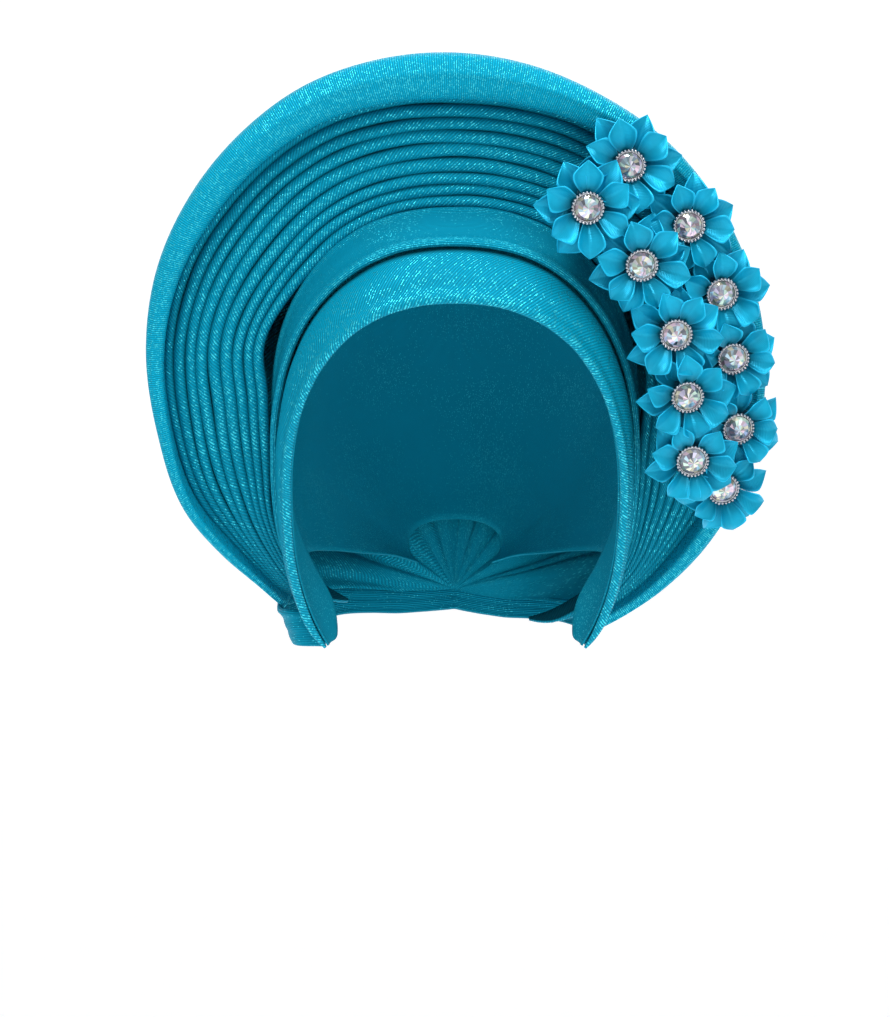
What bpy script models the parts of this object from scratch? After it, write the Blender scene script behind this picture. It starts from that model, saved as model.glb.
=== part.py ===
"""A tied gele head tie: a cap and brow band inside a fan of nine pleats.

The fan is edged by a thick rolled rim, and a plain wrap closes the back down
to the nape. Eleven ribbon flowers with a cut stone each sit on its one side.
X runs across the wearer, Y from the face to the nape and Z up. The origin is
the inside top of the cap, where the tie rests on a head.
"""
import math

import bmesh
import bpy
import numpy as np
from mathutils import Matrix, Vector
from mathutils.bvhtree import BVHTree

NAME = "tied_gele"

# Sizes of the head hollow and of the cloth, in metres
HEAD_HALF_WIDTH = 0.072
HEAD_LENGTH = 0.184
HEAD_DROP = 0.189
CLOTH = 0.002
GAP = 0.0003
WELD = 0.00001
BAND_SETBACK = 0.3
ROUNDNESS = 2.3

# Sizes of the fan
FAN_RADIUS = 0.128
FAN_DROP = 0.065
FAN_FORWARD = 0.0314
FAN_LEAN = 0.33
FOLD_DEPTH = 0.014
RIM_DEPTH = 0.017
LIP = 0.009
TIE_HEIGHT = 0.0135
TIE_LEAN = 0.5
TIE_TAPER = 0.45

# How far below its centre the fan's two ends are cut level, as shares of
# FAN_RADIUS
LEFT_CUT = 0.8617
RIGHT_CUT = 0.9258

# Sizes of a flower and of its stone
FLOWER_RADIUS = 0.0205
HUB_RADIUS = 0.0076
FOOT_RADIUS = 0.0042
PETALS = 8
PETAL_THICKNESS = 0.0013
PETAL_RISE = 0.0042
HUB_DEPTH = 0.0021
SETTING_RADIUS = 0.0072
SETTING_HEIGHT = 0.0030
FLOOR_SHARE = 0.25
STONE_RADIUS = 0.0056
STONE_HEIGHT = 0.0036
OUTER_TIER = 0.0165
INNER_TIER = 0.0275

# Numbers of steps along the soft pieces
FOLD_STEPS = 26
SHARED_FIRST = -140.0
SHARED_LAST = 145.0
HOOD_STEPS = 26
TURN_STEPS = 10
FACETS = 8
SEAT_STEPS = 32
SEAT_LEVELS = 12
SEAT_TRIES = 12

# Steps over which the hood's slope is taken, across and in rows
SIDE_STEP = 0.02
ROW_STEP = 0.5

# The head hollow from the face edge back to the nape. Columns: top_y and
# end_y as shares of HEAD_LENGTH, top_z and end_z as shares of HEAD_DROP,
# width as a share of HEAD_HALF_WIDTH, end_width as a share of that width,
# widest as the share of the row's height where it is widest
HOOD_ROWS = np.array([
    (-0.470, 0.262, 0.065, 1.000, 0.920, 0.79, 0.57),
    (-0.435, 0.204, 0.082, 0.996, 0.950, 0.76, 0.56),
    (-0.383, 0.151, 0.098, 0.978, 0.975, 0.70, 0.54),
    (-0.320, 0.098, 0.095, 0.915, 0.985, 0.71, 0.53),
    (-0.264, 0.063, 0.085, 0.855, 0.990, 0.77, 0.53),
    (-0.136, 0.016, 0.105, 0.815, 1.000, 0.84, 0.55),
    (0.000, 0.000, 0.160, 0.805, 1.000, 0.87, 0.57),
    (0.174, 0.021, 0.235, 0.795, 0.985, 0.87, 0.57),
    (0.337, 0.106, 0.300, 0.790, 0.940, 0.86, 0.57),
    (0.446, 0.254, 0.355, 0.790, 0.830, 0.84, 0.57),
    (0.500, 0.434, 0.395, 0.795, 0.660, 0.80, 0.57),
    (0.505, 0.600, 0.425, 0.800, 0.460, 0.78, 0.57),
    (0.485, 0.720, 0.440, 0.815, 0.270, 0.80, 0.57),
])
CREASE_ROW = 2.0
CROWN_ROW = 4.0

# The fan's outline round its centre, the angle in degrees from the top
# towards +X. Columns: angle, rim_out, rim_in and fold_in as shares of
# FAN_RADIUS, turn of the stack in degrees, back as a share of FAN_RADIUS,
# depth as a share of FOLD_DEPTH, lip as a share of LIP
FAN_ROWS = np.array([
    (-158, 1.034, 1.014, 0.932, 30, 0.165, 0.42, 0.05),
    (-147, 1.030, 1.010, 0.926, 26, 0.140, 0.50, 0.10),
    (-140, 1.016, 0.994, 0.896, 20, 0.095, 0.62, 0.22),
    (-132, 1.018, 0.990, 0.842, 13, 0.045, 0.80, 0.40),
    (-122, 1.026, 0.995, 0.752, 6, 0.008, 0.94, 0.55),
    (-105, 1.003, 0.962, 0.660, 0, 0.000, 1.00, 0.65),
    (-90, 1.001, 0.944, 0.618, 0, 0.000, 1.00, 0.70),
    (-75, 0.997, 0.920, 0.560, 0, 0.000, 1.00, 0.75),
    (-60, 0.984, 0.885, 0.519, 0, 0.000, 1.00, 0.80),
    (-45, 0.973, 0.861, 0.495, 0, 0.000, 1.00, 0.85),
    (-30, 0.966, 0.841, 0.472, 0, 0.000, 1.00, 0.92),
    (-15, 0.952, 0.816, 0.455, 0, 0.000, 1.00, 1.00),
    (0, 0.941, 0.801, 0.450, 0, 0.000, 1.00, 1.00),
    (15, 0.934, 0.809, 0.455, 0, 0.000, 1.00, 1.00),
    (30, 0.934, 0.832, 0.473, 0, 0.000, 1.00, 0.95),
    (45, 0.949, 0.859, 0.500, 0, 0.000, 1.00, 0.85),
    (60, 0.965, 0.883, 0.531, 0, 0.000, 1.00, 0.80),
    (75, 0.984, 0.910, 0.570, 0, 0.000, 1.00, 0.75),
    (90, 1.004, 0.934, 0.620, 0, 0.000, 1.00, 0.70),
    (105, 1.023, 0.957, 0.672, 0, 0.000, 1.00, 0.65),
    (120, 1.042, 0.985, 0.745, 8, 0.012, 0.92, 0.60),
    (131, 1.051, 1.002, 0.836, 16, 0.045, 0.76, 0.45),
    (140, 1.053, 1.014, 0.910, 24, 0.090, 0.62, 0.30),
    (150, 1.050, 1.020, 0.948, 32, 0.140, 0.52, 0.18),
    (160, 1.046, 1.020, 0.956, 36, 0.165, 0.46, 0.10),
])

# The folds from the innermost out. Columns: width as a share of the whole
# stack, setback of the nose as a share of FOLD_DEPTH
FOLDS = np.array([
    (0.105, 0.00),
    (0.105, 0.03),
    (0.100, 0.00),
    (0.130, 0.04),
    (0.125, 0.07),
    (0.120, 0.12),
    (0.105, 0.18),
    (0.115, 0.26),
    (0.095, 0.36),
])

# The nose of a fold. Columns: across as a share of the fold's width, in as
# a share of the fold's width
NOSE = np.array([
    (0.00, 0.42),
    (0.16, 0.10),
    (0.50, 0.00),
    (0.84, 0.10),
    (1.00, 0.42),
])


# How much a fold's deep edge narrows, and how gaps widen where folds shorten
PINCH = 0.18
END_EASE = 1.8

# The share of a fold's ring at which its ends are cut level, and the setback
# past which a fold lies in the rim's shade
END_SHARE = 0.8
SHADED_SETBACK = 0.2

# The tie's turn before the folds' ends. Columns: across, back and up as
# shares of FAN_RADIUS
KNOT_ROWS = np.array([
    (-0.455, 0.155, -1.390),
    (-0.535, 0.142, -1.390),
    (-0.566, 0.200, -1.385),
])

# The wrap behind the rim. Columns: size as a share of the rim, centre_y and
# centre_z as shares of FAN_RADIUS, lean of the row's plane, gather as a
# share of GATHER_DEPTH
WRAP_ROWS = np.array([
    (0.985, 0.065, -0.500, 0.31, 0.0),
    (0.940, 0.18, -0.530, 0.25, 0.2),
    (0.860, 0.41, -0.575, 0.19, 0.5),
    (0.730, 0.62, -0.670, 0.11, 0.8),
    (0.560, 0.765, -0.815, 0.03, 1.0),
    (0.370, 0.810, -0.985, 0.00, 0.9),
    (0.200, 0.780, -1.130, 0.00, 0.6),
    (0.000, 0.745, -1.300, 0.00, 0.0),
])
GATHERS = 6
GATHER_DEPTH = 0.004

# The flowers from the top down. Columns: across and up as shares of
# FAN_RADIUS from the fan's centre, tier (1 is the inner, raised column),
# size as a share of FLOWER_RADIUS, turn of the petals in degrees
FLOWER_ROWS = np.array([
    (0.553, 0.579, 0, 1.04, 8),
    (0.421, 0.444, 1, 1.04, 0),
    (0.745, 0.390, 0, 0.98, 22),
    (0.594, 0.264, 1, 1.02, 14),
    (0.853, 0.176, 0, 0.96, 4),
    (0.706, 0.044, 1, 1.00, 26),
    (0.892, -0.030, 0, 0.92, 17),
    (0.745, -0.154, 1, 0.98, 9),
    (0.911, -0.254, 0, 0.92, 30),
    (0.764, -0.359, 1, 0.94, 20),
    (0.866, -0.448, 0, 0.90, 12),
])
TIER_TILT = (math.radians(13), math.radians(8))

# How far off a flower counts as a neighbour, in radii, and how little of a
# petal's direction points at one that it passes by
NEIGHBOUR_REACH = 2.5
SIDEWAYS = 0.2

# One petal, from its notch round. Columns: step round the petal as a share
# of its spacing, reach as a share of the flower's radius
PETAL_OUTLINE = np.array([
    (0.00, 0.56),
    (0.26, 0.84),
    (0.50, 1.00),
    (0.74, 0.84),
])

TEAL_CLOTH = (0.004, 0.262, 0.420)
TEAL_RIM = (0.014, 0.365, 0.510)
TEAL_SHADE = (0.003, 0.190, 0.320)
TEAL_SATIN = (0.006, 0.240, 0.420)
SILVER = (0.72, 0.74, 0.78)
CRYSTAL = (0.82, 0.86, 0.90)


def make_material(name, colour, roughness, metallic):
    """Return a Principled BSDF material of one colour."""
    material = bpy.data.materials.new(name)
    material.use_nodes = True
    shader = material.node_tree.nodes["Principled BSDF"]
    shader.inputs["Base Color"].default_value = (*colour, 1.0)
    shader.inputs["Roughness"].default_value = roughness
    shader.inputs["Metallic"].default_value = metallic
    return material


def add_object(name, mesh, material, collection):
    """Link a mesh as a named object that is shaded smooth at soft edges."""
    mesh.materials.append(material)
    mesh.shade_smooth()
    mesh.set_sharp_from_angle(angle=math.radians(50))
    piece = bpy.data.objects.new(name, mesh)
    collection.objects.link(piece)
    return piece


def grid_mesh(name, points):
    """Return the open surface over a grid of points, round then back."""
    around, along = points.shape[:2]
    index = np.arange(around * along).reshape(around, along)
    corners = (index[:-1, :-1], index[1:, :-1], index[1:, 1:], index[:-1, 1:])
    faces = np.stack(corners, axis=-1).reshape(-1, 4)
    mesh = bpy.data.meshes.new(name)
    mesh.from_pydata(points.reshape(-1, 3).tolist(), [], faces.tolist())
    work = bmesh.new()
    work.from_mesh(mesh)
    bmesh.ops.remove_doubles(work, verts=work.verts, dist=WELD)
    work.to_mesh(mesh)
    work.free()
    return mesh


def add_shell(name, points, side, even, material, collection):
    """Give an open surface its cloth thickness, on its outer side if 1."""
    piece = add_object(name, grid_mesh(name, points), material, collection)
    solid = piece.modifiers.new("cloth", "SOLIDIFY")
    solid.thickness = CLOTH
    solid.offset = side
    solid.use_even_offset = even
    solid.use_rim = True
    return piece


def loft_mesh(name, sections):
    """Join equal closed sections in a row and cap the first and the last."""
    rows, count = sections.shape[:2]
    index = np.arange(rows * count).reshape(rows, count)
    ahead = np.roll(index, -1, axis=1)
    corners = (index[:-1], ahead[:-1], ahead[1:], index[1:])
    faces = np.stack(corners, axis=-1).reshape(-1, 4).tolist()
    faces.append(index[0].tolist())
    faces.append(index[-1].tolist())
    mesh = bpy.data.meshes.new(name)
    mesh.from_pydata(sections.reshape(-1, 3).tolist(), [], faces)
    work = bmesh.new()
    work.from_mesh(mesh)
    bmesh.ops.recalc_face_normals(work, faces=work.faces)
    work.to_mesh(mesh)
    work.free()
    return mesh


def curve_power(value):
    """Return a sine or cosine shaped for a squarish oval."""
    return np.sign(value) * np.abs(value) ** (2.0 / ROUNDNESS)


def hood_columns(back):
    """Return the hood's columns at fractional rows, scaled to metres."""
    rows = np.arange(len(HOOD_ROWS))
    columns = [np.interp(back, rows, HOOD_ROWS[:, i]) for i in range(7)]
    top_y = columns[0] * HEAD_LENGTH
    top_z = -columns[1] * HEAD_DROP
    end_y = columns[2] * HEAD_LENGTH
    end_z = -columns[3] * HEAD_DROP
    width = columns[4] * HEAD_HALF_WIDTH
    return top_y, top_z, end_y, end_z, width, columns[5], columns[6]


def hood_skin(side, row):
    """Return the hood's inner skin at across (-1 to 1) and back (rows)."""
    top_y, top_z, end_y, end_z, width, end_width, widest = hood_columns(row)
    reach = math.pi - np.arcsin(end_width ** (ROUNDNESS / 2.0))
    sine = curve_power(np.sin(side * reach))
    cosine = curve_power(np.cos(side * reach))
    lowest = curve_power(np.cos(reach))
    widest_z = top_z - widest * (top_z - end_z)
    above = widest_z + cosine * (top_z - widest_z)
    below = widest_z + cosine / lowest * (end_z - widest_z)
    z = np.where(cosine > 0, above, below)
    y = top_y + (end_y - top_y) * (top_z - z) / (top_z - end_z)
    return np.stack((width * sine, y, z), axis=-1)


def hood_points(across, back, lift):
    """Return a grid of the hood's skin, lifted straight out of it."""
    side, row = np.meshgrid(across, back, indexing="ij")
    last = len(HOOD_ROWS) - 1
    ahead = np.minimum(row + ROW_STEP, last)
    behind = np.maximum(row - ROW_STEP, 0.0)
    round_step = hood_skin(side + SIDE_STEP, row) - hood_skin(side - SIDE_STEP, row)
    back_step = hood_skin(side, ahead) - hood_skin(side, behind)
    outward = np.cross(round_step, back_step)
    outward /= np.linalg.norm(outward, axis=-1, keepdims=True)
    return hood_skin(side, row) + outward * lift


def fan_columns(angle):
    """Return the fan's columns at an angle in degrees, scaled to metres."""
    row = [np.interp(angle, FAN_ROWS[:, 0], FAN_ROWS[:, i]) for i in range(1, 8)]
    rim_out, rim_in, fold_in, turn, back, depth, lip = row
    sizes = np.array((rim_out, rim_in, fold_in, back)) * FAN_RADIUS
    return (*sizes, math.radians(turn), depth * FOLD_DEPTH, lip * LIP, depth)


def fan_place(angle, radius, back):
    """Return the point at a radius on the leaning fan plane, moved back."""
    theta = math.radians(angle)
    rise = radius * math.cos(theta)
    return np.array((
        radius * math.sin(theta),
        -FAN_FORWARD - FAN_LEAN * rise + back,
        -FAN_DROP + rise,
    ))


def stack_frame(angle):
    """Return the stack's corner, its two directions, length and rim width."""
    rim_out, rim_in, fold_in, back, turn, depth, lip, share = fan_columns(angle)
    theta = math.radians(angle)
    corner = fan_place(angle, fold_in, back)
    spread = np.array((math.sin(theta), -FAN_LEAN * math.cos(theta), math.cos(theta)))
    behind = np.array((0.0, 1.0, FAN_LEAN)) / math.hypot(1.0, FAN_LEAN)
    outward = math.cos(turn) * spread + math.sin(turn) * behind
    inward = math.cos(turn) * behind - math.sin(turn) * spread
    length = (rim_in - fold_in) / math.cos(turn)
    rim_width = (rim_out - rim_in) / math.cos(turn)
    return corner, outward, inward, length, rim_width, depth, lip, share


def fold_section(angle, inner, outer, setback):
    """Return one fold's rounded section between two shares of the stack."""
    corner, outward, inward, length, _, depth, _, share = stack_frame(angle)
    start = inner * length + GAP / 2.0
    width = (outer - inner) * length - GAP * (1.0 + END_EASE * (1.0 - share))
    nose = setback * depth
    ring = [(start + PINCH * width, depth)]
    ring += [(start + a * width, nose + b * width) for a, b in NOSE]
    ring.append((start + (1.0 - PINCH) * width, depth))
    return [corner + s * outward + d * inward for s, d in ring]


def rim_section(angle):
    """Return the rolled rim's section, proud of the folds beside it."""
    corner, outward, inward, length, width, _, lip, share = stack_frame(angle)
    depth = RIM_DEPTH * share
    start = length + GAP
    taper = depth * FAN_LEAN * max(0.0, math.cos(math.radians(angle)))
    width -= GAP
    ring = [(start + PINCH * width, depth)]
    for a, b in NOSE:
        ring.append((start + a * width, b * min(width, 2.0 * LIP) - lip))
    ring.append((start + width - taper, depth))
    return [corner + s * outward + d * inward for s, d in ring]


def end_angle(share, cut, side):
    """Return where a ring at this share of the stack meets the level cut."""
    angle = 150.0 * side
    for _ in range(6):
        rim_out, _, fold_in = fan_columns(angle)[:3]
        radius = fold_in + share * (rim_out - fold_in)
        angle = side * math.degrees(math.acos(-cut * FAN_RADIUS / radius))
    return angle


def ring_angles(share):
    """Return a ring's stations: shared ones, and its own two level ends."""
    inner = np.linspace(SHARED_FIRST, SHARED_LAST, FOLD_STEPS - 2)
    first = end_angle(share, LEFT_CUT, -1)
    last = end_angle(share, RIGHT_CUT, 1)
    return np.concatenate(([first], inner, [last]))


def add_folds(cloth, shade, collection):
    """Add the nine folds of the fan from the innermost out."""
    folds = []
    edges = np.concatenate(([0.0], np.cumsum(FOLDS[:, 0])))
    for number, (_, setback) in enumerate(FOLDS):
        middle = END_SHARE * (edges[number] + edges[number + 1]) / 2.0
        sections = np.array([
            fold_section(angle, edges[number], edges[number + 1], setback)
            for angle in ring_angles(middle)
        ])
        name = "pleat_%d" % (len(FOLDS) - number)
        material = shade if setback > SHADED_SETBACK else cloth
        folds.append(add_object(name, loft_mesh(name, sections), material, collection))
    return folds


def add_rim(material, collection):
    """Add the thick rolled rim along the fan's outer edge."""
    sections = np.array([rim_section(angle) for angle in ring_angles(1.0)])
    return add_object("rim_roll", loft_mesh("rim_roll", sections), material, collection)


def wrap_points():
    """Return the back wrap's skin from behind the rim to the nape."""
    columns = []
    for angle in ring_angles(1.0):
        _, _, _, length, width, fold_depth, _, share = stack_frame(angle)
        rim_out, _, _, back, turn = fan_columns(angle)[:5]
        theta = math.radians(angle)
        deep = RIM_DEPTH * share
        taper = deep * FAN_LEAN * max(0.0, math.cos(theta))
        behind = (length + width) * math.sin(turn) + deep * math.cos(turn)
        start = fan_place(angle, rim_out - taper, back)
        start += np.array((0.0, 1.0, FAN_LEAN)) * behind / math.hypot(1.0, FAN_LEAN)
        start[1] += GAP + 0.5 * CLOTH
        column = [start]
        for size, centre_y, centre_z, lean, gather in WRAP_ROWS:
            wave = math.cos(GATHERS * theta) * GATHER_DEPTH * gather
            radius = size * rim_out + wave
            rise = radius * math.cos(theta)
            column.append(np.array((
                radius * math.sin(theta),
                centre_y * FAN_RADIUS - lean * rise,
                centre_z * FAN_RADIUS + rise,
            )))
        columns.append(column)
    return np.array(columns)


def tie_points(wrap):
    """Return the tie's skin below the wrap's edge, round behind the neck."""
    left = wrap[0]
    right = wrap[-1][::-1]
    drop = np.array((0.0, 0.0, GAP + 1.5 * CLOTH))
    left = left - drop
    right = right - drop
    upper = np.concatenate((KNOT_ROWS * FAN_RADIUS, left, right[1:]))
    heights = np.linspace(1.0, TIE_TAPER, len(upper)) * TIE_HEIGHT
    lower = upper.copy()
    middle_y = upper[:, 1].mean()
    inward = -upper[:, :2] + np.array((0.0, middle_y))
    inward /= np.linalg.norm(inward, axis=1, keepdims=True)
    lower[:, :2] += inward * heights[:, None] * TIE_LEAN
    lower[:, 2] -= heights
    return np.stack((lower, upper), axis=1)[::-1]


def front_depth(across, up):
    """Return how far back the fan's plane lies at a place on its front."""
    return -FAN_FORWARD - FAN_LEAN * up


def flower_frame(row):
    """Return a flower's place and its turn towards the viewer and outward."""
    across, up, tier = row[0] * FAN_RADIUS, row[1] * FAN_RADIUS, int(row[2])
    proud = INNER_TIER if tier else OUTER_TIER
    place = Vector((across, front_depth(across, up) - proud, up - FAN_DROP))
    away = Vector((across, 0.0, up)).normalized()
    tilt = TIER_TILT[tier]
    ahead = Vector((0.0, -1.0, -FAN_LEAN)).normalized()
    facing = (ahead * math.cos(tilt) + away * math.sin(tilt)).normalized()
    right = Vector((1.0, 0.0, 0.0))
    right = (right - facing * right.dot(facing)).normalized()
    upward = facing.cross(right)
    turn = Matrix((right, upward, facing)).transposed()
    return Matrix.Translation(place) @ turn.to_4x4()


def reach_limit(number, direction):
    """Return how far a petal goes before it meets the flowers around it."""
    row = FLOWER_ROWS[number]
    limit = row[3] * FLOWER_RADIUS
    for other, rival in enumerate(FLOWER_ROWS):
        offset = (rival[:2] - row[:2]) * FAN_RADIUS
        distance = math.hypot(*offset)
        if other == number or distance > NEIGHBOUR_REACH * FLOWER_RADIUS:
            continue
        facing = float(np.dot(offset / distance, direction))
        if facing <= SIDEWAYS:
            continue
        if rival[2] == row[2]:
            room = distance * row[3] / (row[3] + rival[3]) - 2.0 * GAP
            limit = min(limit, room / facing)
            continue
        away = distance * math.sqrt(1.0 - facing * facing)
        keep_out = HUB_RADIUS + PETAL_THICKNESS
        if away < keep_out + PETAL_THICKNESS:
            limit = min(limit, distance - keep_out)
    return limit


def seat_tree(pieces):
    """Return a search tree over the pieces that carry the flowers."""
    corners = []
    faces = []
    for piece in pieces:
        start = len(corners)
        corners += [vertex.co.copy() for vertex in piece.data.vertices]
        faces += [[start + i for i in face.vertices] for face in piece.data.polygons]
    return BVHTree.FromPolygons(corners, faces)


def foot_points(depth):
    """Return points all over a flower's foot, from its hub to its end."""
    share = np.linspace(0.0, 1.0, SEAT_LEVELS)
    radius = HUB_RADIUS + share * (FOOT_RADIUS - HUB_RADIUS)
    height = -HUB_DEPTH - share * (depth - HUB_DEPTH)
    turn = np.arange(SEAT_STEPS) * 2.0 * math.pi / SEAT_STEPS
    x = np.outer(radius, np.cos(turn))
    y = np.outer(radius, np.sin(turn))
    z = np.repeat(height[:, None], SEAT_STEPS, axis=1)
    return np.stack((x, y, z), axis=-1).reshape(-1, 3)


def foot_depth(matrix, seat):
    """Return how far back a flower's foot reaches to lie GAP off its seat.

    The foot is lengthened again and again by what it still lacks, so it
    never goes past the first place where it meets the seat.
    """
    depth = HUB_DEPTH
    for _ in range(SEAT_TRIES):
        points = foot_points(depth)
        lack = min(seat.find_nearest(matrix @ Vector(point))[3] for point in points)
        depth += lack - GAP
    return depth


def flower_sections(number, depth):
    """Return a flower's rings, from its face over the petals to its foot."""
    spacing = 2.0 * math.pi / PETALS
    start = math.radians(FLOWER_ROWS[number][4])
    outline = []
    for petal in range(PETALS):
        for step, reach in PETAL_OUTLINE:
            angle = start + (petal + step) * spacing
            direction = np.array((math.cos(angle), math.sin(angle)))
            limit = reach_limit(number, direction)
            outline.append((direction, reach * limit, limit))
    rings = [[], [], [], [], [], []]
    for direction, radius, limit in outline:
        ridge = PETAL_RISE * (radius / limit)
        radius = max(radius, HUB_RADIUS + PETAL_THICKNESS)
        half = (HUB_RADIUS + radius) / 2.0
        levels = (
            (0.5 * HUB_RADIUS, 0.0),
            (HUB_RADIUS, 0.0),
            (half, ridge),
            (radius, 0.5 * ridge),
            (HUB_RADIUS, -HUB_DEPTH),
            (FOOT_RADIUS, -depth),
        )
        for ring, (distance, height) in zip(rings, levels):
            ring.append((*(direction * distance), height))
    return np.array(rings)


def stone_sections():
    """Return the stone's rings: table, break, girdle, back and point."""
    step = 2.0 * math.pi / FACETS
    rows = (
        (0.34, 1.00, 0.0),
        (0.72, 0.74, 0.5),
        (1.00, 0.34, 0.0),
        (1.00, 0.24, 0.0),
        (0.30, 0.00, 0.0),
    )
    sections = []
    for reach, height, shift in rows:
        angles = (np.arange(FACETS) + shift) * step
        ring = np.stack((np.cos(angles), np.sin(angles)), axis=1)
        level = np.full((FACETS, 1), height * STONE_HEIGHT)
        sections.append(np.hstack((ring * reach * STONE_RADIUS, level)))
    return np.array(sections)


def add_setting(name, matrix, material, collection):
    """Turn a shallow open cup that holds a stone."""
    wall = SETTING_RADIUS - STONE_RADIUS - GAP
    floor = FLOOR_SHARE * SETTING_HEIGHT
    profile = [
        (0.0, floor),
        (SETTING_RADIUS - wall, floor),
        (SETTING_RADIUS - wall, 0.8 * SETTING_HEIGHT),
        (SETTING_RADIUS - 0.5 * wall, SETTING_HEIGHT),
        (SETTING_RADIUS, 0.0),
        (0.0, 0.0),
    ]
    points = [(reach, 0.0, height) for reach, height in profile]
    edges = [(i, i + 1) for i in range(len(points) - 1)]
    mesh = bpy.data.meshes.new(name)
    mesh.from_pydata(points, edges, [])
    piece = add_object(name, mesh, material, collection)
    turned = piece.modifiers.new("turned", "SCREW")
    turned.steps = TURN_STEPS
    turned.render_steps = TURN_STEPS
    turned.use_merge_vertices = True
    turned.merge_threshold = 0.0001
    piece.matrix_world = matrix @ Matrix.Translation((0.0, 0.0, GAP))


def add_flowers(carriers, satin, silver, crystal, collection):
    """Add each flower with the setting and the stone in its middle."""
    seat = seat_tree(carriers)
    for number, row in enumerate(FLOWER_ROWS):
        label = "%02d" % (number + 1)
        matrix = flower_frame(row)
        name = "flower_" + label
        mesh = loft_mesh(name, flower_sections(number, foot_depth(matrix, seat)))
        flower = add_object(name, mesh, satin, collection)
        flower.matrix_world = matrix
        add_setting("setting_" + label, matrix, silver, collection)
        lift = 2.0 * GAP + FLOOR_SHARE * SETTING_HEIGHT
        name = "stone_" + label
        stone = loft_mesh(name, stone_sections())
        piece = add_object(name, stone, crystal, collection)
        piece.matrix_world = matrix @ Matrix.Translation((0.0, 0.0, lift))


def main():
    """Clear the scene and build every piece of the head tie."""
    for item in list(bpy.data.objects):
        bpy.data.objects.remove(item, do_unlink=True)
    collection = bpy.data.collections.new(NAME)
    bpy.context.scene.collection.children.link(collection)
    cloth = make_material("cloth_twill", TEAL_CLOTH, 0.45, 0.15)
    rim = make_material("cloth_sparkle", TEAL_RIM, 0.38, 0.30)
    shade = make_material("cloth_shade", TEAL_SHADE, 0.50, 0.10)
    satin = make_material("satin_ribbon", TEAL_SATIN, 0.32, 0.0)
    silver = make_material("silver_setting", SILVER, 0.25, 1.0)
    crystal = make_material("coated_crystal", CRYSTAL, 0.05, 0.1)
    across = np.linspace(-1.0, 1.0, HOOD_STEPS)
    last = len(HOOD_ROWS) - 1
    cap_rows = np.concatenate(([BAND_SETBACK], np.arange(1, last + 1)))
    cap = hood_points(across, cap_rows, 0.0)
    add_shell("cap", cap, 1.0, True, cloth, collection)
    band_rows = np.linspace(0.0, CREASE_ROW, 5)
    band = hood_points(across, band_rows, CLOTH + 2.0 * GAP)
    add_shell("front_band", band, 1.0, True, rim, collection)
    crown_rows = np.array((CREASE_ROW + 0.1, CREASE_ROW + 1.0, CROWN_ROW))
    crown = hood_points(across, crown_rows, CLOTH + 3.0 * GAP)
    add_shell("crown_band", crown, 1.0, True, cloth, collection)
    carriers = add_folds(cloth, shade, collection)
    carriers.append(add_rim(rim, collection))
    wrap = wrap_points()
    add_shell("back_wrap", wrap, -1.0, True, cloth, collection)
    add_shell("tie_band", tie_points(wrap), -1.0, False, cloth, collection)
    add_flowers(carriers, satin, silver, crystal, collection)


main()
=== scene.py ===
"""Dresses the tied gele head tie in twill, satin ribbon and cut stones."""

import math

import bpy
import numpy as np
from bpy.props import FloatProperty, FloatVectorProperty, IntProperty, PointerProperty
from mathutils import Matrix, Vector


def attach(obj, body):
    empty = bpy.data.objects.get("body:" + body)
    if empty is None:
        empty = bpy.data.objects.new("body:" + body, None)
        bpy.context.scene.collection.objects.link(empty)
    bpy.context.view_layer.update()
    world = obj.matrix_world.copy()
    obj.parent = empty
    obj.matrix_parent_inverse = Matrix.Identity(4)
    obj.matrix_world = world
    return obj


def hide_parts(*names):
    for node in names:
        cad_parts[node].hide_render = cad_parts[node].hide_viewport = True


bl_info = {
    "name": "Tied gele head tie",
    "version": (1, 0, 0),
    "blender": (4, 5, 0),
    "location": "3D View > Sidebar > Gele",
    "description": "Builds the cloth, flowers and stones of a pleated head tie",
    "category": "Object",
}

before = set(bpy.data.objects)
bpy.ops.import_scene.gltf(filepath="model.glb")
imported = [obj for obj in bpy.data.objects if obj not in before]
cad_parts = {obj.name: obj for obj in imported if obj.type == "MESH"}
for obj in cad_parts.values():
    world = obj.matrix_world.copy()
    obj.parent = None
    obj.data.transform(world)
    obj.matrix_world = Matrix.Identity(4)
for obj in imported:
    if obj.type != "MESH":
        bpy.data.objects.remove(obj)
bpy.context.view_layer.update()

BODY = "root"

# The head hollow, in metres; ROUNDNESS is the power of its oval
HEAD_HALF_WIDTH = 0.072
HEAD_LENGTH = 0.184
HEAD_DROP = 0.189
ROUNDNESS = 2.3
CAP_LIFT = 0.0012

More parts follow.
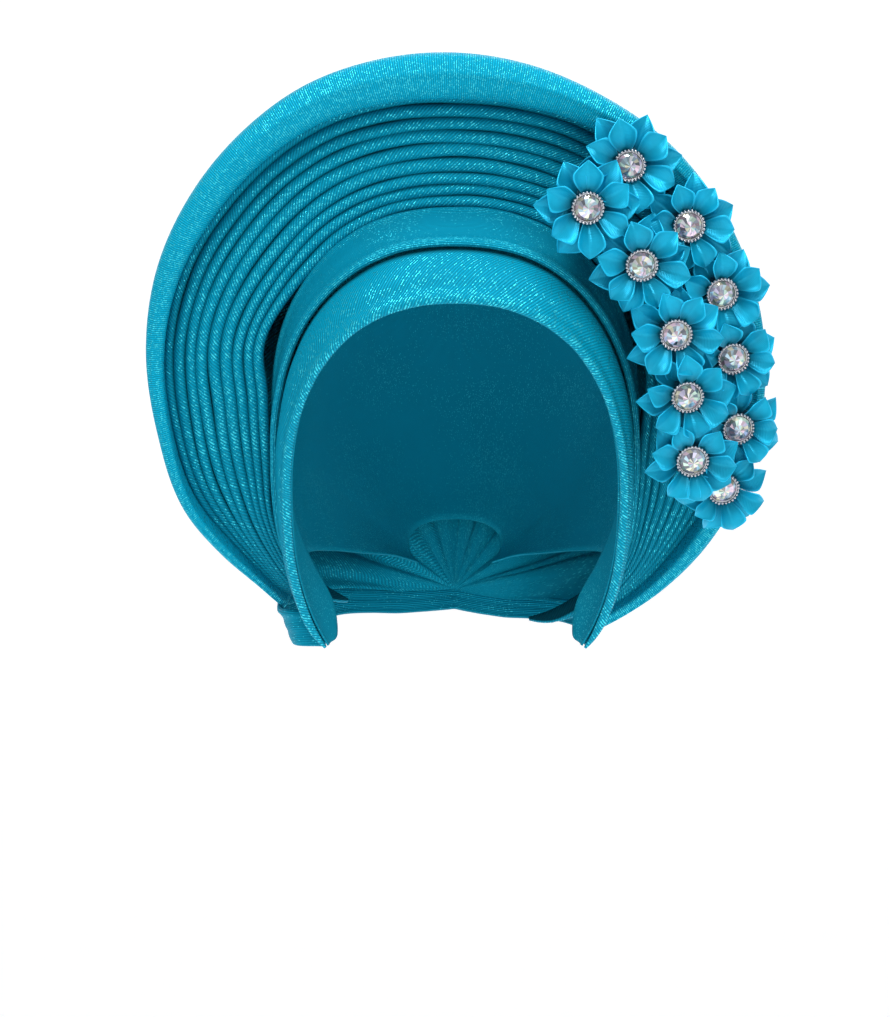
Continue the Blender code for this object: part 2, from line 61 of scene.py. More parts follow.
# Row by row from the face edge to the nape: top_y and end_y as shares of
# HEAD_LENGTH, top_z and end_z as shares of HEAD_DROP, width as a share of
# HEAD_HALF_WIDTH, end_width as a share of the width, widest level
HOOD_ROWS = np.array([
    (-0.470, 0.262, 0.065, 1.000, 0.920, 0.79, 0.57),
    (-0.435, 0.204, 0.082, 0.996, 0.950, 0.76, 0.56),
    (-0.383, 0.151, 0.098, 0.978, 0.975, 0.70, 0.54),
    (-0.320, 0.098, 0.095, 0.915, 0.985, 0.71, 0.53),
    (-0.264, 0.063, 0.085, 0.855, 0.990, 0.77, 0.53),
    (-0.136, 0.016, 0.105, 0.815, 1.000, 0.84, 0.55),
    (0.000, 0.000, 0.160, 0.805, 1.000, 0.87, 0.57),
    (0.174, 0.021, 0.235, 0.795, 0.985, 0.87, 0.57),
    (0.337, 0.106, 0.300, 0.790, 0.940, 0.86, 0.57),
    (0.446, 0.254, 0.355, 0.790, 0.830, 0.84, 0.57),
    (0.500, 0.434, 0.395, 0.795, 0.660, 0.80, 0.57),
    (0.505, 0.600, 0.425, 0.800, 0.460, 0.78, 0.57),
    (0.485, 0.720, 0.440, 0.815, 0.270, 0.80, 0.57),
])

# The fan, in metres. FAN_LEAN is a slope, FAN_INTO points into its depth,
# NOSE_ROUND is a share of a fold's width and FOLD_OPEN the share of a
# fold's run that isn't pressed shut
FAN_RADIUS = 0.128
FAN_DROP = 0.065
FAN_FORWARD = 0.0314
FAN_LEAN = 0.33
FAN_INTO = np.array((0.0, 1.0, FAN_LEAN)) / math.hypot(1.0, FAN_LEAN)
FOLD_DEPTH = 0.014
NOSE_ROUND = 0.58
FOLD_OPEN = 0.955
RIM_DEPTH = 0.017
LIP = 0.009
LEFT_END = 0.1753
RIGHT_END = 0.1835

# Angle, rim_out, rim_in and fold_in as shares of FAN_RADIUS, turn in
# degrees, back as a share of FAN_RADIUS, depth and lip as shares
FAN_ROWS = np.array([
    (-158, 1.034, 1.014, 0.932, 30, 0.165, 0.42, 0.05),
    (-147, 1.030, 1.010, 0.926, 26, 0.140, 0.50, 0.10),
    (-140, 1.016, 0.994, 0.896, 20, 0.095, 0.62, 0.22),
    (-132, 1.018, 0.990, 0.842, 13, 0.045, 0.80, 0.40),
    (-122, 1.026, 0.995, 0.752, 6, 0.008, 0.94, 0.55),
    (-105, 1.003, 0.962, 0.660, 0, 0.000, 1.00, 0.65),
    (-90, 1.001, 0.944, 0.618, 0, 0.000, 1.00, 0.70),
    (-75, 0.997, 0.920, 0.560, 0, 0.000, 1.00, 0.75),
    (-60, 0.984, 0.885, 0.519, 0, 0.000, 1.00, 0.80),
    (-45, 0.973, 0.861, 0.495, 0, 0.000, 1.00, 0.85),
    (-30, 0.966, 0.841, 0.472, 0, 0.000, 1.00, 0.92),
    (-15, 0.952, 0.816, 0.455, 0, 0.000, 1.00, 1.00),
    (0, 0.941, 0.801, 0.450, 0, 0.000, 1.00, 1.00),
    (15, 0.934, 0.809, 0.455, 0, 0.000, 1.00, 1.00),
    (30, 0.934, 0.832, 0.473, 0, 0.000, 1.00, 0.95),
    (45, 0.949, 0.859, 0.500, 0, 0.000, 1.00, 0.85),
    (60, 0.965, 0.883, 0.531, 0, 0.000, 1.00, 0.80),
    (75, 0.984, 0.910, 0.570, 0, 0.000, 1.00, 0.75),
    (90, 1.004, 0.934, 0.620, 0, 0.000, 1.00, 0.70),
    (105, 1.023, 0.957, 0.672, 0, 0.000, 1.00, 0.65),
    (120, 1.042, 0.985, 0.745, 8, 0.012, 0.92, 0.60),
    (131, 1.051, 1.002, 0.836, 16, 0.045, 0.76, 0.45),
    (140, 1.053, 1.014, 0.910, 24, 0.090, 0.62, 0.30),
    (150, 1.050, 1.020, 0.948, 32, 0.140, 0.52, 0.18),
    (160, 1.046, 1.020, 0.956, 36, 0.165, 0.46, 0.10),
])

# Angle in degrees and how many metres the folds tuck in under the bands
TUCK_ROWS = np.array([
    (-160, 0.0), (-148, 0.0025), (-136, 0.0042), (-120, 0.0046), (-104, 0.0036),
    (-92, 0.0), (-60, 0.0), (60, 0.0), (88, 0.0004), (100, 0.0032), (115, 0.0060),
    (132, 0.0064), (146, 0.0030), (160, 0.0),
])

# Width as a share of the stack and setback of the nose, innermost first
FOLDS = np.array([
    (0.105, 0.00),
    (0.105, 0.03),
    (0.100, 0.00),
    (0.130, 0.04),
    (0.125, 0.07),
    (0.120, 0.12),
    (0.105, 0.18),
    (0.115, 0.26),
    (0.095, 0.36),
])

# Size as a share of the rim, centre_y and centre_z as shares of FAN_RADIUS,
# lean of the row's plane, gather depth
WRAP_ROWS = np.array([
    (0.985, 0.065, -0.500, 0.31, 0.0),
    (0.940, 0.180, -0.530, 0.25, 0.2),
    (0.860, 0.410, -0.575, 0.19, 0.5),
    (0.730, 0.620, -0.670, 0.11, 0.8),
    (0.560, 0.765, -0.815, 0.03, 1.0),
    (0.370, 0.810, -0.985, 0.00, 0.9),
    (0.200, 0.780, -1.130, 0.00, 0.6),
    (0.000, 0.745, -1.300, 0.00, 0.0),
])
GATHER_DEPTH = 0.0022

# The tie's turn before the folds' ends, as shares of FAN_RADIUS
KNOT_ROWS = np.array([
    (-0.455, 0.155, -1.390),
    (-0.535, 0.142, -1.390),
    (-0.566, 0.200, -1.385),
])
TIE_HEIGHT = 0.0135
TIE_LEAN = 0.5

# Across and up from the fan's centre as shares of FAN_RADIUS, tier (1 is
# the raised inner column), size share, turn of the petals in degrees
FLOWER_ROWS = np.array([
    (0.553, 0.579, 0, 1.04, 8),
    (0.421, 0.444, 1, 1.04, 0),
    (0.745, 0.390, 0, 0.98, 22),
    (0.594, 0.264, 1, 1.02, 14),
    (0.853, 0.176, 0, 0.96, 4),
    (0.706, 0.044, 1, 1.00, 26),
    (0.892, -0.030, 0, 0.92, 17),
    (0.745, -0.154, 1, 0.98, 9),
    (0.911, -0.254, 0, 0.92, 30),
    (0.764, -0.359, 1, 0.94, 20),
    (0.866, -0.448, 0, 0.90, 12),
])
# For each tier: how far a flower stands off the fan's plane and its
# outward tilt
TIER_STANDOFF = (0.0165, 0.0275)
TIER_TILT = (math.radians(13), math.radians(8))
PETAL_REACH = 0.0212
PETAL_WIDTH = 0.0066
FOOT_RADIUS = 0.0042

# The camera's place in metres: it looks level along +Y at the photo's
# middle. SENSOR is in millimetres
CAMERA_X = -0.0042
CAMERA_Z = -0.1317
CAMERA_DISTANCE = 3.0
FRAME_HEIGHT = 0.42714
SENSOR = 36.0


class GeleSizes(bpy.types.PropertyGroup):
    """Sizes that a user would change."""

    fold_steps: IntProperty(
        name="Fold steps", description="Stations along each fold",
        default=220, min=40, max=400)
    band_puff: FloatProperty(
        name="Band puff", description="Extra lift along the brow band's middle",
        default=0.0009, unit="LENGTH")
    flower_radius: FloatProperty(
        name="Flower radius", description="Reach of a ribbon petal",
        default=PETAL_REACH, unit="LENGTH")
    petals: IntProperty(
        name="Petals", description="Petals in each of a flower's two layers",
        default=6, min=4, max=9)
    setting_radius: FloatProperty(
        name="Setting radius", description="Nominal reach of the bead ring",
        default=0.0068, unit="LENGTH")
    stone_radius: FloatProperty(
        name="Stone radius", description="Half the width of a cut stone",
        default=0.0054, unit="LENGTH")
    gathers: IntProperty(
        name="Gathers", description="Soft gathers round the back wrap",
        default=12, min=4, max=30)


class GeleColours(bpy.types.PropertyGroup):
    """Colours of the cloth, ribbon and trimmings."""

    cloth: FloatVectorProperty(
        name="Cloth", description="Twill of the fan and the cap",
        subtype="COLOR", size=3, default=(0.001, 0.305, 0.465))
    # Colour of the metallic thread's flecks where they are painted bright as glints
    thread_and_glint: FloatVectorProperty(
        name="Sparkle", description="Metallic thread in the twill",
        subtype="COLOR", size=3, default=(0.045, 0.640, 0.780))
    ribbon: FloatVectorProperty(
        name="Ribbon", description="Satin of the petals",
        subtype="COLOR", size=3, default=(0.001, 0.370, 0.580))
    metal: FloatVectorProperty(
        name="Setting", description="Metal round the stones",
        subtype="COLOR", size=3, default=(0.75, 0.76, 0.80))


def smooth_rows(table, place):
    """Return a table's columns at a place in its first column.

    Each column is a cubic through the rows, whose slope at a row is the
    slope between its two neighbours.
    """
    knots = table[:, 0]
    values = table[:, 1:]
    slopes = np.gradient(values, knots, axis=0)
    place = np.clip(place, knots[0], knots[-1])
    row = np.clip(np.searchsorted(knots, place) - 1, 0, len(knots) - 2)
    step = (knots[row + 1] - knots[row])[..., None]
    t = (place - knots[row])[..., None] / step
    start = values[row] * (2 * t**3 - 3 * t**2 + 1)
    leave = slopes[row] * step * (t**3 - 2 * t**2 + t)
    end = values[row + 1] * (3 * t**2 - 2 * t**3)
    arrive = slopes[row + 1] * step * (t**3 - t**2)
    return np.moveaxis(start + leave + end + arrive, -1, 0)


def numbered(table):
    """Return a table with its row numbers as a first column."""
    return np.column_stack((np.arange(len(table)), table))


def curve_power(value):
    """Return a sine or cosine shaped for a squarish oval."""
    return np.sign(value) * np.abs(value) ** (2.0 / ROUNDNESS)


def hood_skin(side, row):
    """Return the hollow's skin at side (-1 to 1) and row (face to nape).

    Each row is a squarish arch in a leaning plane: its half width follows
    the sine of the angle round it and its height the cosine, and it leans
    back evenly from its top to its two lower ends.
    """
    columns = smooth_rows(numbered(HOOD_ROWS), row)
    top_y, top_z, end_y, end_z, width, end_width, widest = columns
    top_y, end_y = top_y * HEAD_LENGTH, end_y * HEAD_LENGTH
    top_z, end_z = -top_z * HEAD_DROP, -end_z * HEAD_DROP
    reach = math.pi - np.arcsin(end_width ** (ROUNDNESS / 2.0))
    sine = curve_power(np.sin(side * reach))
    cosine = curve_power(np.cos(side * reach))
    lowest = curve_power(np.cos(reach))
    middle = top_z - widest * (top_z - end_z)
    above = middle + cosine * (top_z - middle)
    below = middle + cosine / lowest * (end_z - middle)
    z = np.where(cosine > 0, above, below)
    y = top_y + (end_y - top_y) * (top_z - z) / (top_z - end_z)
    return np.stack((width * HEAD_HALF_WIDTH * sine, y, z), axis=-1)


def hood_lifted(side, row, lift):
    """Return the hollow's skin moved straight out of itself by a lift."""
    last = len(HOOD_ROWS) - 1
    ahead, behind = np.minimum(row + 0.5, last), np.maximum(row - 0.5, 0.0)
    across = hood_skin(side + 0.02, row) - hood_skin(side - 0.02, row)
    along = hood_skin(side, ahead) - hood_skin(side, behind)
    outward = np.cross(across, along)
    outward /= np.linalg.norm(outward, axis=-1, keepdims=True)
    return hood_skin(side, row) + outward * np.asarray(lift)[..., None]


def fan_frame(angle):
    """Return the fan's stack at each angle as a dictionary of arrays.

    The corner lies on the leaning fan plane at the inner edge of the folds.
    outward runs along the stack and inward into the fan's depth; both turn
    by the row's turn towards the fan's ends.
    """
    columns = smooth_rows(FAN_ROWS, angle)
    rim_out, rim_in, fold_in, turn, back, share, lip = columns
    theta, turn = np.radians(angle), np.radians(turn)
    radius = fold_in * FAN_RADIUS
    rise = radius * np.cos(theta)
    corner = np.stack((
        radius * np.sin(theta),
        -FAN_FORWARD - FAN_LEAN * rise + back * FAN_RADIUS,
        -FAN_DROP + rise,
    ), axis=-1)
    spread = np.stack((np.sin(theta), -FAN_LEAN * np.cos(theta), np.cos(theta)), axis=-1)
    cosine, sine = np.cos(turn)[:, None], np.sin(turn)[:, None]
    return {
        "corner": corner,
        "outward": cosine * spread + sine * FAN_INTO,
        "inward": cosine * FAN_INTO - sine * spread,
        "length": (rim_in - fold_in) * FAN_RADIUS / np.cos(turn),
        "rim_width": (rim_out - rim_in) * FAN_RADIUS / np.cos(turn),
        "rim_out": rim_out * FAN_RADIUS,
        "back": back * FAN_RADIUS,
        "turn": turn,
        "share": share,
        "lip": lip * LIP,
        "theta": theta,
    }


def stack_points(stack, along, deep):
    """Return points at distances along the stack and into its depth."""
    return (stack["corner"][:, None]
            + along[..., None] * stack["outward"][:, None]
            + deep[..., None] * stack["inward"][:, None])


def end_angle(share, end, side):
    """Return where a ring at this share of the stack meets the level end."""
    angle = np.array([150.0 * side])
    for _ in range(8):
        rim_out, _, fold_in = smooth_rows(FAN_ROWS, angle)[:3]
        radius = (fold_in + share * (rim_out - fold_in)) * FAN_RADIUS
        angle = side * np.degrees(np.arccos((FAN_DROP - end) / radius))
    return float(angle[0])


def ring_angles(share, steps):
    """Return a ring's stations from its left end to its right end."""
    first = end_angle(share, LEFT_END, -1)
    last = end_angle(share, RIGHT_END, 1)
    return np.linspace(first, last, steps)


def ripple(places, seed, period, depth):
    """Return a soft seeded waviness along places, from five sines."""
    rng = np.random.default_rng(seed)
    total = np.zeros_like(places)
    for octave in range(5):
        rate = 2.0 * math.pi / (period / (1.0 + 0.7 * octave))
        total += np.sin(places * rate + rng.uniform(0.0, 2.0 * math.pi)) / (1 + octave)
    return total * depth / 2.0


def cloth_distances(points):
    """Return how far along and across the cloth each grid point lies."""
    along = np.linalg.norm(np.diff(points, axis=0), axis=-1)
    across = np.linalg.norm(np.diff(points, axis=1), axis=-1)
    along = np.vstack((np.zeros((1, points.shape[1])), np.cumsum(along, axis=0)))
    across = np.hstack((np.zeros((points.shape[0], 1)), np.cumsum(across, axis=1)))
    middle = points.shape[1] // 2
    return np.repeat(along[:, middle:middle + 1], points.shape[1], axis=1), across


def grid_faces(rows, columns, closed=False, start=0):
    """Return the quads of a grid, joined round its second side if closed."""
    index = np.arange(rows * columns).reshape(rows, columns) + start
    ahead = np.roll(index, -1, axis=1)
    if not closed:
        index, ahead = index[:, :-1], ahead[:, :-1]
    quads = (index[:-1], index[1:], ahead[1:], ahead[:-1])
    return np.stack(quads, axis=-1).reshape(-1, 4)


def mesh_from(name, points, faces, uv=None):
    """Return a smooth mesh from whole arrays of points, faces and UVs."""
    mesh = bpy.data.meshes.new(name)
    mesh.from_pydata(points.reshape(-1, 3).tolist(), [], faces.tolist())
    if uv is not None:
        layer = mesh.uv_layers.new(name="cloth")
        corner = np.empty(len(mesh.loops), dtype=np.int32)
        mesh.loops.foreach_get("vertex_index", corner)
        layer.data.foreach_set("uv", uv.reshape(-1, 2)[corner].astype(np.float32).ravel())
    mesh.shade_smooth()
    mesh.update()
    return mesh


def add_piece(name, mesh, material, nodes):
    """Link a finished piece, let it ride and let it replace its nodes."""
    piece = bpy.data.objects.new(name, mesh)
    bpy.context.scene.collection.objects.link(piece)
    mesh.materials.clear()
    mesh.materials.append(material)
    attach(piece, BODY)
    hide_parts(*nodes)
    return piece


def add_marks(mesh, marks):
    """Store whole arrays of numbers on a mesh's points for its material."""
    for name, values in marks.items():
        layer = mesh.attributes.new(name, "FLOAT", "POINT")
        layer.data.foreach_set("value", np.asarray(values, dtype=np.float32).ravel())


def add_cloth(name, points, thickness, material, nodes,
              painted_shade=0.0, crest_glint=0.0, offset=0.0):
    """Add a sheet of cloth over a grid of points; its flat size is worked out but not kept."""
    along, across = cloth_distances(points)
    uv = np.stack((along, across), axis=-1)
    faces = grid_faces(*points.shape[:2])
    mesh = mesh_from(name, points, faces, uv)
    # The painted_shade mark carries painted shade and the crest_glint mark says where painted
    # glints gather
    add_marks(mesh, {"painted_shade": np.broadcast_to(painted_shade, along.shape),
                     "crest_glint": np.broadcast_to(crest_glint, along.shape)})
    piece = add_piece(name, mesh, material, nodes)
    solid = piece.modifiers.new("thickness", "SOLIDIFY")
    solid.thickness = thickness
    solid.offset = offset
    solid.use_rim = True
    width = float(across[:, -1].max())
    length = float(along[-1].max())
    corners = points[:-1, :-1], points[1:, :-1], points[:-1, 1:]
    steps = np.cross(corners[1] - corners[0], corners[2] - corners[0])
    area = float(np.linalg.norm(steps, axis=-1).sum())
    area = min(area, 0.999 * width * length)


class Nodes:
    """A material's node tree with short calls to add and join nodes."""

    def __init__(self, name):
        self.material = bpy.data.materials.new(name)
        self.material.use_nodes = True
        self.tree = self.material.node_tree
        self.shader = self.tree.nodes["Principled BSDF"]

    def add(self, kind, inputs=(), **values):
        """Add a node and set its attributes and its inputs by name."""
        node = self.tree.nodes.new(kind)
        for key, value in values.items():
            setattr(node, key, value)
        for key, value in dict(inputs).items():
            node.inputs[key].default_value = value
        return node

    def fix(self, values):
        """Set inputs of the shader itself by name."""
        for key, value in values.items():
            self.shader.inputs[key].default_value = value

    def join(self, output, target):
        """Join an output to an input socket."""
        self.tree.links.new(output, target)

    def math(self, operation, *values):
        """Add a Math node on sockets and numbers."""
        node = self.add("ShaderNodeMath", operation=operation)
        for slot, value in enumerate(values):
            if isinstance(value, (int, float)):
                node.inputs[slot].default_value = value
            else:
                self.join(value, node.inputs[slot])
        return node.outputs[0]

    def noise(self, scale, detail=2.0):
        """Add a Noise texture on Object coordinates and return its factor."""
        node = self.add("ShaderNodeTexNoise", {"Scale": scale, "Detail": detail})
        place = self.add("ShaderNodeTexCoord").outputs["Object"]
        self.join(place, node.inputs["Vector"])
        return node.outputs["Fac"]

    def mark(self, name):
        """Return a number stored on the mesh's points."""
        return self.add("ShaderNodeAttribute", attribute_name=name).outputs["Fac"]

    def bump(self, height, strength, distance):
        """Join a height to the shader's normal through a Bump node."""
        node = self.add("ShaderNodeBump", {"Strength": strength, "Distance": distance})
        self.join(height, node.inputs["Height"])
        self.join(node.outputs[0], self.shader.inputs["Normal"])

    def mix(self, factor, first, second):
        """Add a colour Mix node between two colours or sockets."""
        node = self.add("ShaderNodeMix", data_type="RGBA")
        self.join(factor, node.inputs[0])
        for slot, value in ((6, first), (7, second)):
            if isinstance(value, tuple):
                node.inputs[slot].default_value = (*value, 1.0)
            else:
                self.join(value, node.inputs[slot])
        return node.outputs[2]


# Scale of a band wave whose bands are one metre apart
WAVE_SHARE = 0.314


def tinted(colour, factor, lift=0.0):
    """Return a colour times a factor, at most white."""
    return tuple(min(1.0, factor * c + lift) for c in colour)


def twill_material(name, colour, thread_and_glint, glint_share, rib_angle, rib_pitch, gloss):
    """Return twill: slanted ribs, cross threads, painted glints, a soft cloud and painted shade.

    A fleck of metallic thread is painted in the bright glint colour where its
    own random number passes a limit, which falls with glint_share, a soft cloud
    and the crest_glint mark and rises with the painted_shade mark; that mark
    also paints shade into the valleys.
    """
    nodes = Nodes(name)
    shader = nodes.shader
    turned = nodes.add("ShaderNodeMapping", {"Rotation": (0.0, 0.0, math.radians(rib_angle))})
    nodes.join(nodes.add("ShaderNodeUVMap", uv_map="cloth").outputs[0], turned.inputs[0])
    turned = turned.outputs[0]
    ribs = nodes.add("ShaderNodeTexWave", {
        "Scale": WAVE_SHARE / rib_pitch, "Distortion": 0.6, "Detail": 1.0, "Detail Scale": 2.0,
    }, wave_type="BANDS", bands_direction="X")
    nodes.join(turned, ribs.inputs["Vector"])
    ribs = ribs.outputs["Fac"]
    threads = nodes.add("ShaderNodeTexWave", {"Scale": WAVE_SHARE / (0.45 * rib_pitch)},
                        wave_type="BANDS", bands_direction="Y")
    nodes.join(turned, threads.inputs["Vector"])
    weave = nodes.math("MULTIPLY_ADD", threads.outputs["Fac"], 0.35, ribs)
    flecks = nodes.add("ShaderNodeTexVoronoi", {"Scale": 1.0 / (0.62 * rib_pitch)},
                       voronoi_dimensions="2D")
    nodes.join(turned, flecks.inputs["Vector"])
    chance = nodes.add("ShaderNodeSeparateColor")
    nodes.join(flecks.outputs["Color"], chance.inputs[0])
    patch = nodes.noise(34.0, 3.0)
    painted_shade, bright = nodes.mark("painted_shade"), nodes.mark("crest_glint")
    limit = nodes.math("MULTIPLY_ADD", patch, -0.5, 1.22 - glint_share)
    limit = nodes.math("SUBTRACT", limit, nodes.math("MULTIPLY", bright, 0.35))
    limit = nodes.math("ADD", limit, painted_shade)
    # A fleck on a rib crest that passes the limit is painted in the bright glint colour
    glint = nodes.math("GREATER_THAN", chance.outputs[0], limit)
    glint = nodes.math("MULTIPLY", glint, nodes.math("GREATER_THAN", ribs, 0.45))
    deep = tinted(colour, 0.62)
    body = nodes.mix(ribs, deep, tinted(colour, 1.12))
    shade = nodes.add("ShaderNodeMapRange", {
        "From Min": 0.3, "From Max": 0.7, "To Min": 0.0, "To Max": 0.22})
    nodes.join(patch, shade.inputs[0])
    body = nodes.mix(shade.outputs[0], body, deep)
    # Painted shade: the painted_shade mark darkens the cloth towards a sixth of its colour
    body = nodes.mix(painted_shade, body, tinted(colour, 0.16))
    nodes.join(nodes.mix(glint, body, thread_and_glint), shader.inputs["Base Color"])
    nodes.join(nodes.math("MULTIPLY_ADD", glint, -0.22, 0.56 - gloss), shader.inputs["Roughness"])
    nodes.join(nodes.math("MULTIPLY_ADD", glint, 0.6, 0.15), shader.inputs["Metallic"])
    nodes.fix({"Specular IOR Level": 0.06, "Sheen Weight": 0.10, "Sheen Roughness": 0.4,
               "Sheen Tint": (0.02, 0.70, 0.90, 1.0)})
    nodes.bump(weave, 0.55, 0.00035)
    return nodes.material


def satin_material(name, colour):
    """Return ribbon satin: fine lengthwise threads, a broad soft gloss, painted highlights on the
    petals' edges and painted shade towards their bases.
    """
    nodes = Nodes(name)
    shader = nodes.shader
    threads = nodes.add("ShaderNodeTexWave", {"Scale": WAVE_SHARE / 0.00060, "Distortion": 1.2},
                        wave_type="BANDS", bands_direction="X")
    nodes.join(nodes.add("ShaderNodeUVMap", uv_map="cloth").outputs[0], threads.inputs["Vector"])
    cloud = nodes.noise(90.0)
    body = nodes.mix(cloud, tinted(colour, 0.55), tinted(colour, 1.40))
    # Painted highlight on the upturned petal edges, then painted shade by the hub
    body = nodes.mix(nodes.mark("edge"), body, tinted(colour, 1.45, 0.01))
    body = nodes.mix(nodes.mark("painted_shade"), body, tinted(colour, 0.15))
    nodes.join(body, shader.inputs["Base Color"])
    nodes.join(nodes.math("MULTIPLY_ADD", cloud, 0.14, 0.26), shader.inputs["Roughness"])
    nodes.fix({"Metallic": 0.40, "Specular IOR Level": 0.25})
    nodes.bump(threads.outputs["Fac"], 0.35, 0.0002)
    return nodes.material


def metal_material(name, colour):
    """Return polished setting metal with a slight cloudy tarnish."""
    nodes = Nodes(name)
    cloud = nodes.noise(420.0)
    body = nodes.mix(cloud, tinted(colour, 0.5), colour)
    nodes.join(body, nodes.shader.inputs["Base Color"])
    nodes.join(nodes.math("MULTIPLY_ADD", cloud, 0.25, 0.12), nodes.shader.inputs["Roughness"])
    nodes.fix({"Metallic": 1.0})
    return nodes.material


def stone_material(name):
    """Return a coated cut stone whose facets carry tints, partly the coating's colour and partly
    painted reflections.
    """
    nodes = Nodes(name)
    coat_and_reflection = nodes.add("ShaderNodeAttribute", attribute_name="coat_and_reflection")
    nodes.join(coat_and_reflection.outputs["Color"], nodes.shader.inputs["Base Color"])
    rough = nodes.math("MULTIPLY_ADD", nodes.noise(600.0), 0.06, 0.03)
    nodes.join(rough, nodes.shader.inputs["Roughness"])
    nodes.fix({"Metallic": 0.55, "Coat Weight": 1.0, "Coat Roughness": 0.02})
    return nodes.material


# Gain of the cloth's colour, painted light that makes the one cloth brighter
# where a part catches the light, most on the rim; share of painted glints,
# slant of the ribs in degrees, their pitch in metres, gloss
FINISHES = {
    "fold_twill": (1.08, 0.15, 45.0, 0.0011, 0.10),
    "rim_twill": (1.30, 0.24, 0.0, 0.0009, 0.12),
    "band_twill": (1.08, 0.15, 38.0, 0.0012, 0.10),
    "crown_twill": (1.04, 0.06, 90.0, 0.0008, 0.06),
    "back_twill": (1.00, 0.10, 45.0, 0.0011, 0.06),
    "lining_twill": (1.00, 0.02, 0.0, 0.0006, 0.02),
}
MATERIALS = {}


def shared(name, maker, *values):
    """Return a material, made the first time that it is asked for."""
    if name not in MATERIALS:
        MATERIALS[name] = maker(name, *values)
    return MATERIALS[name]


def cloth_of(kind):
    """Return one of the twill finishes: what differs is the lit_gain's painted light, the share
    of painted glints and the ribs.
    """
    colours = bpy.context.scene.gele_colours
    lit_gain, *finish = FINISHES[kind]
    colour = tinted(tuple(colours.cloth), lit_gain)
    return shared(kind, twill_material, colour, tuple(colours.thread_and_glint), *finish)


class GELE_OT_cap(bpy.types.Operator):
    """Make the cap that lies on the head"""

    bl_idname = "gele.cap"
    bl_label = "Cap"

    def execute(self, context):
        """The cap follows the hollow from under the brow band to the nape."""
        side, row = np.meshgrid(
            np.linspace(-1.0, 1.0, 121),
            np.linspace(0.3, len(HOOD_ROWS) - 1, 90), indexing="ij")
        points = hood_lifted(side, row, np.full(side.shape, CAP_LIFT))
        add_cloth("cap_cloth", points, 0.0009, cloth_of("lining_twill"),
                  ["cap"])
        return {"FINISHED"}


class GELE_OT_bands(bpy.types.Operator):
    """Make the brow band and the crown band"""

    bl_idname = "gele.bands"
    bl_label = "Bands"

    def execute(self, context):
        """Each band is a strip whose two long edges are turned under."""
        puff = context.scene.gele_sizes.band_puff
        # Share of the way across the band, row of the hood, lift in metres
        brow = np.array([
            (0.00, 0.40, 0.0026), (0.07, 0.06, 0.0024), (0.11, 0.00, 0.0034),
            (0.15, 0.04, 0.0048), (0.20, 0.16, 0.0055), (0.27, 0.34, 0.0052),
            (0.34, 0.52, 0.0046), (0.50, 0.90, 0.0046 + puff), (0.68, 1.36, 0.0045 + puff),
            (0.84, 1.74, 0.0044), (0.93, 1.94, 0.0037), (1.00, 2.08, 0.0030),
        ])
        crown = np.array([
            (0.00, 2.50, 0.0033), (0.07, 2.26, 0.0036), (0.11, 2.14, 0.0042),
            (0.14, 2.10, 0.0053), (0.18, 2.18, 0.0064), (0.23, 2.32, 0.0063),
            (0.29, 2.48, 0.0050), (0.34, 2.62, 0.0043), (0.55, 3.10, 0.0042),
            (0.76, 3.58, 0.0041), (0.82, 3.72, 0.0043), (0.87, 3.86, 0.0053),
            (0.92, 3.98, 0.0052), (0.96, 4.05, 0.0041), (1.00, 3.98, 0.0029),
        ])
        bands = (
            ("front_band_cloth", brow, "band_twill", ["front_band"], "sparkle_cloth", 0,
             (0.18, 0.18)),
            ("crown_band_cloth", crown, "crown_twill", ["crown_band"], "cloth", 1,
             (2.25, 3.92)),
        )
        for name, profile, finish, nodes, slot, seed, ridges in bands:
            across = np.linspace(-1.0, 1.0, 261)
            row, lift = smooth_rows(profile, np.linspace(0.0, 1.0, 64))
            side, row = np.meshgrid(across, np.maximum(row, 0.0), indexing="ij")
            ease = np.clip((np.abs(side) - 0.90) / 0.10, 0.0, 1.0) ** 2
            lift = lift[None] + (0.0028 - lift[None]) * 0.8 * ease
            lift = lift + ripple(side * 0.2 + row * 0.01, 11 + seed, 0.06, 0.0002)
            # Painted glints gather on the rolled face edge and on the crown band's ridges
            crest_glint = np.exp(-((row - ridges[0]) / 0.18) ** 2)
            crest_glint = 0.8 * np.maximum(crest_glint, np.exp(-((row - ridges[1]) / 0.14) ** 2))
            # Painted shade darkens the brow band's top where it runs under the crown band's roll
            tuck = np.clip((row - 1.80) / 0.22, 0.0, 1.0) if seed == 0 else 0.0 * row
            points = hood_lifted(side, row, lift)
            add_cloth(name, points, 0.0006, cloth_of(finish), nodes,
                      tuck, crest_glint)
        return {"FINISHED"}


